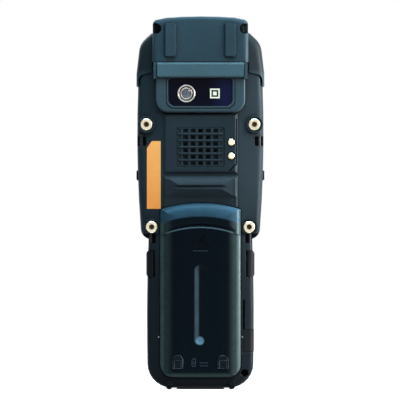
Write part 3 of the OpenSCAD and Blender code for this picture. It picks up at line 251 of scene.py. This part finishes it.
def board():
    """Circuit board: solder mask over traces, with vias and pads."""
    t = Finish("board")
    traces = t.noise(900, 1, place=t.stretched(0.25, 1, 2.2))
    base = t.mix(t.span(traces, 0.52, 0.56, 0, 1), srgb(16, 74, 50), srgb(30, 104, 70))
    base = t.mix(t.span(t.cells(260), 0.16, 0.10, 0, 1), base, srgb(176, 150, 84))
    t.set(Base_Color=base, Roughness=t.span(t.noise(300), 0.3, 0.7, 0.28, 0.42),
          Normal=t.bump(traces, 0.02))
    return t.material


def label():
    """Bare printed film, painted lighter towards its top as painted light: slightly mottled ink, rubbed
    at its edges, a fine film grain.
    """
    t = Finish("label")
    slow = t.noise(120, 4, 0.6)
    fine = t.noise(2600, 2)
    soft = t.rounded(0.1)
    # painted light: lighter towards the label's top
    base = t.mix(t.span(t.along("Z"), *LABEL, 0, 1), srgb(236, 142, 62), srgb(255, 174, 96))
    base = t.mix(t.span(slow, 0.35, 0.7, 0, 0.5), base, srgb(246, 154, 68))
    base = t.mix(t.span(fine, 0.55, 0.75, 0, 0.35), base, srgb(206, 120, 46))
    base = t.mix(t.times(t.edges(soft), 0.6), base, srgb(240, 206, 160))
    t.set(Base_Color=base, Roughness=t.span(slow, 0.3, 0.7, 0.32, 0.48),
          Specular_IOR_Level=0.4, Normal=t.bump(fine, 0.004, soft))
    return t.material


# ---------- what is painted, worn or moulded in at a place, and where light and shade are painted; all in mm ---

SCREWS = ((-25.6, 125.6), (25.6, 125.6), (-23.1, 77.0), (23.1, 77.0))
PINS = ((14.6, 110.65), (14.6, 117.15))
LENS = (-6.65, 140.2)
FLASH = (6.84, 140.2)
LABEL = (85.6, 117.7)                   # from and to
DISPLAY_MIDDLE, DISPLAY_W, DISPLAY_H = 113.3, 44.5, 67.7
ARC_CENTRE = (0, 28.32)                 # of the cover's upper edge
ARC_HUMP, ARC_LIP = 53.7, (48.2, 48.8)
GROOVE_FLOOR, GROOVE_W, GROOVE_ENDS = -15.15, 6.4, (20.7, 59.6)
GROOVE_STRIPE = (-2.6, -0.8)            # its left side, with a painted highlight
GROOVE_END_SPOT = (-0.2, 23.2)                # its lower end, with a painted highlight
BUMPER_X, BUMPER_Z = 22.85, 150.0       # the cap's rubber begins here


def screw_paint(t):
    """Brown brass in the socket, a dark line round it, dark thread and underside of the head."""
    far = t.round_about(*SCREWS)
    stain = t.span(t.noise(900, 3, 0.6), 0.3, 0.7, 0.1, 0.5)
    return [(t.span(far, 1.10, 1.20, 1, 0), srgb(74, 54, 22), 0.5),
            (t.times(t.band(far, 1.16, 1.42), 0.75), srgb(58, 50, 40), 0.5),
            (t.times(t.band(far, 1.9, 2.15, 0.12), stain), srgb(120, 104, 84), 0.45)]


def pin_paint(t):
    """A brown ring between a contact's tip and its collar."""
    return [(t.band(t.round_about(*PINS), 1.18, 1.34), srgb(96, 70, 32), 0.5)]


def ring_paint(t):
    """The lens ring's groove is blackened, as is its back."""
    return [(t.band(t.round_about(LENS), 2.84, 3.50, 0.05), srgb(14, 16, 22), 0.6),
            (t.span(t.along("Y"), -13.2, -12.8, 0, 1), srgb(20, 20, 24), 0.6)]


def lamp_paint(t):
    """The flash: white frame, dark gap, white middle."""
    return [(t.band(t.square_about(*FLASH), 0.86, 1.66, 0.05), srgb(10, 12, 22))]


def lens_paint(t):
    """Front glass of the lens: dark barrel round a smaller coated middle with a pale rim."""
    far = t.round_about(LENS)
    return [(t.span(far, 1.10, 1.25, 0, 1), srgb(20, 24, 34)),
            (t.band(far, 1.62, 1.86, 0.08), srgb(96, 104, 116)),
            (t.span(far, 0.62, 0.50, 0, 1), srgb(16, 20, 44))]


def window_reflection_paint(t):
    """Painted reflection: the window is bluer towards its far end."""
    return [(t.span(t.along("X"), 3, 11.5, 0, 1, True), srgb(15, 19, 46))]


def display_paint(t):
    """Unlit screen area inside the black printed border."""
    area = t.times(t.band(t.along("X"), -DISPLAY_W / 2, DISPLAY_W / 2, 0.05),
                   t.band(t.off("Z", DISPLAY_MIDDLE), -1, DISPLAY_H / 2, 0.05))
    return [(area, srgb(26, 30, 36))]


def cover_paint(t):
    """The cover's flanks and lower edge are paler, partly satin rubbed by the hand and partly painted
    highlight; the groove keeps a dark colour, with painted highlights along its left side and at its
    lower end; the hump's top and the lip below it are painted highlights.
    """
    x, z = t.off("X"), t.along("Z")
    patchiness = t.span(t.noise(260, 4, 0.6), 0.3, 0.7, 0.75, 1.0)
    flank = t.math("MAXIMUM", t.span(x, 12.5, 16.5, 0, 0.42, True), t.span(x, 16.3, 17.8, 0, 1, True))
    foot = t.span(z, 8.4, 6.8, 0, 1, True)
    deep = t.span(t.along("Y"), GROOVE_FLOOR - 0.1, GROOVE_FLOOR + 0.1, 0, 1)
    inside = t.times(t.span(x, GROOVE_W / 2 - 0.1, GROOVE_W / 2 + 0.1, 1, 0),
                     t.band(z, *GROOVE_ENDS, 0.2))
    groove = t.times(deep, inside)
    stripe = t.times(groove, t.band(t.along("X"), *GROOVE_STRIPE, 0.35))
    end_highlight = t.times(groove, t.span(t.round_about(GROOVE_END_SPOT), 2.3, 1.5, 0, 1, True))
    arc = t.round_about(ARC_CENTRE)
    hump = t.span(arc, ARC_HUMP - 0.5, ARC_HUMP + 0.5, 0, 1, True)
    lip = t.times(t.band(arc, *ARC_LIP, 0.1), t.span(x, 16.5, 17.5, 1, 0))
    # painted highlights on flanks and foot (partly wear), groove side and end, hump top and lip
    return [(t.times(t.math("MAXIMUM", flank, foot), patchiness), srgb(57, 70, 69)),
            (groove, srgb(5, 8, 12)), (t.times(stripe, patchiness), srgb(58, 72, 82)),
            (end_highlight, srgb(84, 112, 130)), (t.times(hump, patchiness), srgb(38, 62, 76)),
            (lip, srgb(62, 78, 86))]


def shell_paint(t):
    """A black ring round each charging contact, on the back alone: painted shade."""
    back = t.span(t.along("Y"), -8, -7.5, 1, 0)
    return [(t.times(back, t.band(t.round_about(*PINS), 1.4, 2.15, 0.12)), srgb(5, 6, 8))]


def cap_paint(t):
    """The cap's shoulders are over-moulded in darker rubber."""
    bumper = t.times(t.span(t.off("X"), BUMPER_X - 0.15, BUMPER_X + 0.15, 0, 1),
                     t.span(t.along("Z"), BUMPER_Z - 2.5, BUMPER_Z + 2.5, 0, 1, True))
    return [(bumper, srgb(25, 31, 35))]


# ---------- materials ----------

CASE = dict(depth=0.030, round_r=0.35, edge_wear_and_highlight=0.35, sheen=0.10)
KEY = dict(grain=1700, depth=0.02, round_r=0.4)
MARK = dict(grain=2400, round_r=0.05)
COLD = (0.42, 0.72, 1.0, 1.0)

M = {
    # the casing's colour carries painted shade towards its bottom
    "shell": plastic("shell", srgb(32, 41, 47), 0.42, spec=0.04, low_shade=0.45, reach=5,
                     paint=shell_paint, **{**CASE, "edge_wear_and_highlight": 0.45}),
    "cap": plastic("cap", srgb(41, 56, 64), 0.42, spec=0.04, reach=4, paint=cap_paint,
                   **{**CASE, "depth": 0.034}),
    "cover": plastic("cover", srgb(3, 5, 9), 0.27, spec=0.075, grain=1900, depth=0.012, round_r=0.4,
                     edge_wear_and_highlight=0.3, edge_wear_and_highlight_rgb=srgb(60, 70, 78), paint=cover_paint, tint=COLD),
    "soft_black": plastic("soft_black", srgb(20, 23, 28), 0.62, spec=0.08, grain=1200, depth=0.04,
                          edge_wear_and_highlight=0.3, sheen=0.1),
    "black_plastic": plastic("black_plastic", srgb(16, 18, 23), 0.45, spec=0.10, edge_wear_and_highlight=0.3),
    "keys": plastic("keys", srgb(40, 45, 51), 0.55, spec=0.15, edge_wear_and_highlight=0.35, **KEY),
    "scan_key": plastic("scan_key", srgb(222, 138, 50), 0.48, spec=0.3,
                        edge_wear_and_highlight_rgb=srgb(240, 186, 120), **KEY),
    "pack": plastic("pack", srgb(62, 66, 70), 0.5, spec=0.3, edge_wear_and_highlight=0.3),
    "window": gloss("window", srgb(3, 4, 12), 0.05, 0.0, spec=0.05, tint=srgb(6, 7, 22),
                    paint=window_reflection_paint),
    "display": gloss("display", srgb(7, 8, 11), 0.05, 0.0, spec=0.4, tint=srgb(12, 13, 18),
                     paint=display_paint),
    "lens": gloss("lens", srgb(58, 74, 92), 0.05, 1.0, tint=srgb(72, 78, 112), paint=lens_paint),
    "lamp": gloss("lamp", srgb(216, 222, 212), 0.22, 0.3, tint=srgb(228, 222, 192), paint=lamp_paint),
    "scan_red": gloss("scan_red", srgb(60, 8, 14), 0.08, 0.0, spec=0.15, tint=srgb(88, 12, 20)),
    "signal": gloss("signal", srgb(112, 188, 120), 0.3, 0.2),
    "bright_metal": metal("bright_metal", srgb(196, 190, 184), 0.30, True, paint=ring_paint),
    "steel": metal("steel", srgb(205, 196, 184), 0.34, True, srgb(150, 132, 110)),
    "gold": metal("gold", srgb(240, 208, 140), 0.24, True, srgb(206, 160, 88)),
    "board": board(),
    "label": label(),
    # finishes of single pieces; the bezel and hood are lighter copies of the casing plastic, painted
    # light, and the boot a darker one, painted shade
    "bezel": plastic("bezel", srgb(50, 65, 72), 0.40, spec=0.05, **{**CASE, "depth": 0.022}),
    "hood": plastic("hood", srgb(58, 78, 86), 0.40, spec=0.05, **CASE),
    "boot": plastic("boot", srgb(15, 21, 27), 0.40, spec=0.05, **CASE),
    # the latches' pale edges are painted highlights as much as wear
    "latch": plastic("latch", srgb(5, 7, 11), 0.24, spec=0.14, grain=1900, depth=0.008, round_r=0.3,
                     edge_wear_and_highlight=0.9, edge_wear_and_highlight_rgb=srgb(150, 166, 178), tint=(0.45, 0.75, 1.0, 1.0)),
    "side_rubber": plastic("side_rubber", srgb(12, 14, 18), 0.55, spec=0.06, grain=1200, edge_wear_and_highlight=0.25),
    "mark_dark": plastic("mark_dark", srgb(1, 2, 4), 0.4, spec=0.03, depth=0.004, edge_wear_and_highlight=0.1, **MARK),
    "mark_pale": plastic("mark_pale", srgb(50, 62, 74), 0.4, spec=0.1, depth=0.004, edge_wear_and_highlight=0.2, **MARK),
    "mark_white": plastic("mark_white", srgb(206, 210, 212), 0.5, spec=0.3, depth=0.003, edge_wear_and_highlight=0.0,
                          **MARK),
    "screw": metal("screw", srgb(236, 226, 206), 0.30, True, srgb(206, 190, 160), screw_paint),
    "pin": metal("pin", srgb(255, 244, 220), 0.30, True, srgb(250, 226, 180), pin_paint),
    "stud": metal("stud", srgb(112, 120, 132), 0.35),
    "dark_steel": metal("dark_steel", srgb(40, 42, 46), 0.42),
}

OWN = {"strap_bars": "dark_steel", "camera_bezel": "bezel", "camera_hood": "hood",
       "bottom_boot": "boot", "case_screws": "screw", "charging_contacts": "pin",
       "latch_left": "latch", "latch_right": "latch", "port_cover": "side_rubber",
       "side_key_left": "side_rubber", "side_key_right": "side_rubber",
       "trigger_left": "side_rubber", "trigger_right": "side_rubber"}

for node, obj in NODES.items():
    for place in obj.material_slots:
        if place.material is not None:
            place.material = M[OWN.get(node) or place.material.name.split(".")[0]]

# ---------- smooth normals on the CAD solids' round and many-sided faces ----------

SHARP = math.radians(24)
SAME_POINT = 2e-6       # metres


def smoothing_group():
    """Geometry nodes that join doubled points and smooth every edge less sharp than SHARP."""
    group = bpy.data.node_groups.new("smooth_by_angle", "GeometryNodeTree")
    for way in ("INPUT", "OUTPUT"):
        group.interface.new_socket("Geometry", in_out=way, socket_type="NodeSocketGeometry")
    start, end, merge, angle, sharp, normal = (group.nodes.new(kind) for kind in (
        "NodeGroupInput", "NodeGroupOutput", "GeometryNodeMergeByDistance",
        "GeometryNodeInputMeshEdgeAngle", "FunctionNodeCompare", "GeometryNodeSetMeshNormal"))
    merge.inputs["Distance"].default_value = SAME_POINT
    sharp.operation = "GREATER_THAN"
    sharp.inputs[1].default_value = SHARP
    normal.inputs["Remove Custom"].default_value = True
    for a, b in ((start.outputs[0], merge.inputs["Geometry"]),
                 (merge.outputs[0], normal.inputs["Mesh"]),
                 (angle.outputs["Unsigned Angle"], sharp.inputs[0]),
                 (sharp.outputs[0], normal.inputs["Edge Sharpness"]),
                 (normal.outputs[0], end.inputs[0])):
        group.links.new(a, b)
    return group


smoothing = smoothing_group()
for obj in NODES.values():
    obj.modifiers.new("smooth", "NODES").node_group = smoothing
    even = obj.modifiers.new("even", "WEIGHTED_NORMAL")
    even.mode = "FACE_AREA"
    even.weight = 90
    even.keep_sharp = True

# ---------- small pieces: signs, studs, gasket; all in mm ----------

SIGN_PROUD = 0.05       # how far a printed sign stands out
LID_FACE = -15.3        # y of the battery cover's flat
KEY_FACE = 15.8         # y of the keys' tops


def dressed(obj, body, look):
    scene.collection.objects.link(obj)
    obj.data.materials.append(M[look])
    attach(obj, body)
    return obj


def closed(name, bm):
    """The object of a finished bmesh, its faces turned outwards."""
    bmesh.ops.recalc_face_normals(bm, faces=bm.faces)
    mesh = bpy.data.meshes.new(name)
    bm.to_mesh(mesh)
    bm.free()
    return bpy.data.objects.new(name, mesh)


def lofted(name, rings):
    """A solid through rings of points in metres; a first ring of one point is a tip."""
    bm = bmesh.new()
    rows = [[bm.verts.new(point) for point in ring] for ring in rings]
    for low, high in zip(rows, rows[1:]):
        for i in range(len(high)):
            j = (i + 1) % len(high)
            bm.faces.new([low[0], high[i], high[j]] if len(low) == 1
                         else [low[i], high[i], high[j], low[j]])
    for end in (rows[0], rows[-1]):
        if len(end) > 1:
            bm.faces.new(end)
    return closed(name, bm)


def bead(name, r, look, paths):
    """Raised lines half sunk into the cover; each path is [closed, (x, z) ...]."""
    curve = bpy.data.curves.new(name, "CURVE")
    curve.dimensions = "3D"
    curve.bevel_depth = r * MM
    curve.bevel_resolution = 3
    curve.use_fill_caps = True
    for path in paths:
        spline = curve.splines.new("POLY")
        spline.points.add(len(path) - 2)
        spline.use_cyclic_u = path[0]
        for point, (x, z) in zip(spline.points, path[1:]):
            point.co = (x * MM, LID_FACE * MM, z * MM, 1)
    dressed(bpy.data.objects.new(name, curve), "cover", look)


def printed(name, body, look, outlines):
    """Thin printed areas on a key's top, with softened edges."""
    bm = bmesh.new()
    for outline in outlines:
        low = [bm.verts.new((x * MM, (KEY_FACE - SIGN_PROUD) * MM, z * MM)) for x, z in outline]
        grown = bmesh.ops.extrude_face_region(bm, geom=[bm.faces.new(low)])
        top = [v for v in grown["geom"] if isinstance(v, bmesh.types.BMVert)]
        for v in top:
            v.co.y += 2 * SIGN_PROUD * MM
        rim = [e for e in {e for v in top for e in v.link_edges} if all(v in top for v in e.verts)]
        bmesh.ops.bevel(bm, geom=rim, offset=0.6 * SIGN_PROUD * MM, segments=2, affect="EDGES",
                        profile=0.6)
    dressed(closed(name, bm), body, look)


def oblong(x0, x1, z0, z1, r=0.0, steps=4):
    """A rectangle's outline, with rounded corners where r is given."""
    if not r:
        return [(x0, z0), (x1, z0), (x1, z1), (x0, z1)]
    out = []
    for cx, cz, turn in ((x1 - r, z1 - r, 0), (x0 + r, z1 - r, 1), (x0 + r, z0 + r, 2),
                         (x1 - r, z0 + r, 3)):
        for i in range(steps + 1):
            a = math.tau / 4 * (turn + i / steps)
            out.append((cx + r * math.cos(a), cz + r * math.sin(a)))
    return out


def met(node, start, way):
    """The point where a line from start first meets a CAD node."""
    return NODES[node].ray_cast(Vector(start), Vector(way))[1]


def middle_of(node):
    low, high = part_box(node)
    return ((low[0] + high[0]) / 2, (low[2] + high[2]) / 2)


bead("battery_sign", 0.24, "mark_dark", [
    [True] + oblong(-3.5, 3.4, 66.6, 70.9, 0.7),
    [False, (3.5, 70.0), (4.5, 70.0), (4.5, 67.6), (3.5, 67.6)],
    [False, (2.2, 73.4), (0.1, 70.0)], [False, (1.9, 70.2), (0.1, 69.9), (0.0, 71.9)],
    [False, (-1.9, 69.5), (-1.9, 68.0)], [False, (0.0, 69.3), (0.0, 68.0)],
    [False, (1.7, 69.3), (1.7, 68.0)]])
bead("battery_sign_line", 0.13, "mark_pale", [[False, (-3.6, 65.7), (3.6, 65.7)]])
bead("release_sign", 0.13, "mark_pale", [
    [True] + oblong(-4.0, -2.3, 11.0, 14.6, 0.5), [False, (-3.15, 12.0), (-3.15, 13.6)],
    [False, (-0.3, 12.7), (3.6, 12.7)], [False, (-0.3, 11.3), (3.6, 11.3)]])

DIGITS = ("123", "456", "789", "*0#")
KEY_PITCH = 14
DIGIT_H = 4.8
STAR_H, STAR_DROP = 6.4, 1.0    # a font's star is small and sits high

key_places = {node: middle_of(node) for node in NODES if node.startswith("number_key_")}
key_rows = sorted({round(z, 4) for x, z in key_places.values()}, reverse=True)
for node, (x, z) in sorted(key_places.items()):
    column = 1 - round(x / (KEY_PITCH * MM))
    digit = DIGITS[key_rows.index(round(z, 4))][column]
    star = digit == "*"
    text = bpy.data.curves.new("sign_" + node, "FONT")
    text.body = digit
    text.size = (STAR_H if star else DIGIT_H) * MM
    text.extrude = SIGN_PROUD * MM
    text.align_x = text.align_y = "CENTER"
    obj = bpy.data.objects.new("sign_" + node, text)
    drop = STAR_DROP * MM if star else 0
    obj.matrix_world = Matrix(((-1, 0, 0, x), (0, 0, 1, KEY_FACE * MM), (0, 1, 0, z - drop),
                               (0, 0, 0, 1)))
    dressed(obj, node.replace("number_key", "number"), "mark_white")

SIGN_ROW = 66.3                 # height of the scan key and the function keys
BARS = ((-4.6, 0.9), (-3.1, 0.4), (-2.2, 1.2), (-0.4, 0.4), (0.5, 0.8), (1.9, 0.4), (2.8, 0.4),
        (3.7, 0.9))             # each bar's start and width
back_x = middle_of("function_key_left")[0] / MM
menu_x = middle_of("function_key_right")[0] / MM
printed("sign_scan", "scan_button", "mark_dark",
        [oblong(x, x + w, SIGN_ROW - 2, SIGN_ROW + 2) for x, w in BARS])
printed("sign_back", "left_function", "mark_white",
        [[(back_x + 1.6, SIGN_ROW), (back_x - 0.9, SIGN_ROW + 1.7), (back_x - 0.9, SIGN_ROW - 1.7)]])
printed("sign_menu", "right_function", "mark_white",
        [oblong(menu_x - 1.6, menu_x + 1.6, SIGN_ROW + d - 0.25, SIGN_ROW + d + 0.25)
         for d in (-1.2, 0, 1.2)])

# two small domed studs stand in the casing beside the cover
STUD_X, STUD_Z, STUD_SIDES = 19.75, 24.8, 16
STUD_PROFILE = ((0.0, 0.32), (0.16, 0.29), (0.30, 0.20), (0.38, 0.08), (0.40, -0.1), (0.40, -0.4))
for name, x in (("pin_left", -STUD_X), ("pin_right", STUD_X)):
    seat = met("rear_housing", (x * MM, -0.05, STUD_Z * MM), (0, 1, 0))
    rings = []
    for r, h in STUD_PROFILE:
        turns = [math.tau * i / STUD_SIDES for i in range(STUD_SIDES if r else 1)]
        rings.append([((x + r * math.cos(a)) * MM, seat.y - h * MM, (STUD_Z + r * math.sin(a)) * MM)
                      for a in turns])
    stud = lofted(name, rings)
    stud.data.shade_smooth()
    dressed(stud, "terminal", "stud")

# a rubber gasket shows in the seam between the casing's halves
PARTING = 3                     # y of the seam
GASKET_LOW, GASKET_STEP, GASKET_STEPS = 20.6, 2.0, 66
GASKET = ((-0.45, 0.0), (-0.52, 0.055), (-1.5, 0.055), (-1.5, -0.055), (-0.52, -0.055))
for name, side in (("seam_gasket_right", 1), ("seam_gasket_left", -1)):
    rings = []
    for i in range(GASKET_STEPS):
        z = (GASKET_LOW + GASKET_STEP * i) * MM
        wall = met("front_housing", (side * 0.05, (PARTING + 0.3) * MM, z), (-side, 0, 0))
        rings.append([(wall.x + side * dx * MM, (PARTING + dy) * MM, z) for dx, dy in GASKET])
    dressed(lofted(name, rings), "terminal", "soft_black")

# ---------- stage ----------

FLOOR_REACH = 6                         # metres each way
FLOOR_GREY = 0.25
SHADOW_NEAR, SHADOW_FAR = 0.08, 0.5     # the floor pales from the first distance to the second
FILL = 0.05                             # strength of the room's own light

floor_mesh = bpy.data.meshes.new("floor")
floor_mesh.from_pydata([(x * FLOOR_REACH, y * FLOOR_REACH, 0)
                        for x, y in ((-1, -1), (1, -1), (1, 1), (-1, 1))], [], [(0, 1, 2, 3)])
floor = bpy.data.objects.new("floor", floor_mesh)
scene.collection.objects.link(floor)
floor_mesh.materials.append(bpy.data.materials.new("m_floor"))
t = Tree(floor_mesh.materials[0])
far = t.make("VectorMath", {0: t.make("NewGeometry").outputs["Position"]}, operation="LENGTH")
level = t.span(far.outputs["Value"], SHADOW_NEAR, SHADOW_FAR, 0.90, 1.0)
lit = t.make("BsdfDiffuse", {"Color": (FLOOR_GREY, FLOOR_GREY, FLOOR_GREY, 1)})
glow = t.make("Emission", {"Strength": t.times(t.seen(), level)})
both = t.make("AddShader", {0: lit.outputs[0], 1: glow.outputs[0]})
t.make("OutputMaterial", {0: both.outputs[0]})

scene.world = bpy.data.worlds.new("studio")
t = Tree(scene.world)
fill = t.make("Background", {"Color": (0.72, 0.86, 1.0, 1), "Strength": FILL})
white = t.make("Background", {"Color": (1, 1, 1, 1), "Strength": 1.0})
sky = t.make("MixShader", {0: t.seen(), 1: fill.outputs[0], 2: white.outputs[0]})
t.make("OutputWorld", {0: sky.outputs[0]})

# ---------- light and camera ----------

middle = Vector((0, 0, 0.09))


def around(azimuth, elevation, far):
    """A place at that angle from the middle; azimuth 0 is behind the camera, 90 on its right."""
    a, e = math.radians(azimuth), math.radians(elevation)
    return middle + Vector((math.sin(a) * math.cos(e), -math.cos(a) * math.cos(e), math.sin(e))) * far


def turned_to(obj, place, way):
    scene.collection.objects.link(obj)
    obj.location = place
    obj.rotation_mode = "QUATERNION"
    obj.rotation_quaternion = Vector(way).to_track_quat("-Z", "Y")


ABOVE = Vector((0.05, -0.10, 0.46))
for name, place, aim, size, power, colour in (
        ("key", around(88, 12, 0.92), middle, (0.10, 0.57), 28.0, (1.0, 0.97, 0.92)),
        ("wide", around(62, 20, 0.9), middle, (0.41, 0.24), 5.0, (1.0, 0.98, 0.93)),
        ("near", around(34, 30, 0.9), middle, (0.35, 0.20), 2.6, (1.0, 1.0, 0.94)),
        ("top", ABOVE, Vector((0, -0.01, 0.10)), (0.5, 0.16), 4.6, (0.50, 0.84, 1.0)),
        ("front", around(205, 40, 1.1), middle, (0.8, 0.8), 16, (1.0, 0.99, 0.97))):
    lamp = bpy.data.lights.new(name, "AREA")
    lamp.shape = "RECTANGLE"
    lamp.size, lamp.size_y = size
    lamp.energy = power
    lamp.color = colour
    turned_to(bpy.data.objects.new(name, lamp), place, aim - place)

FOCAL, SENSOR = 400, 36                 # mm
VIEW_H, VIEW_Y = 0.190, -0.006          # the picture's height in metres, and where it is measured
camera_data = bpy.data.cameras.new("camera")
camera_data.lens = FOCAL
camera_data.sensor_width = SENSOR
camera_data.clip_start, camera_data.clip_end = 0.01, 100
camera = bpy.data.objects.new("camera", camera_data)
turned_to(camera, (-0.00019, VIEW_Y - VIEW_H * FOCAL / SENSOR, 0.08978), (0, 1, 0))
scene.camera = camera
scene.view_settings.view_transform = "Standard"
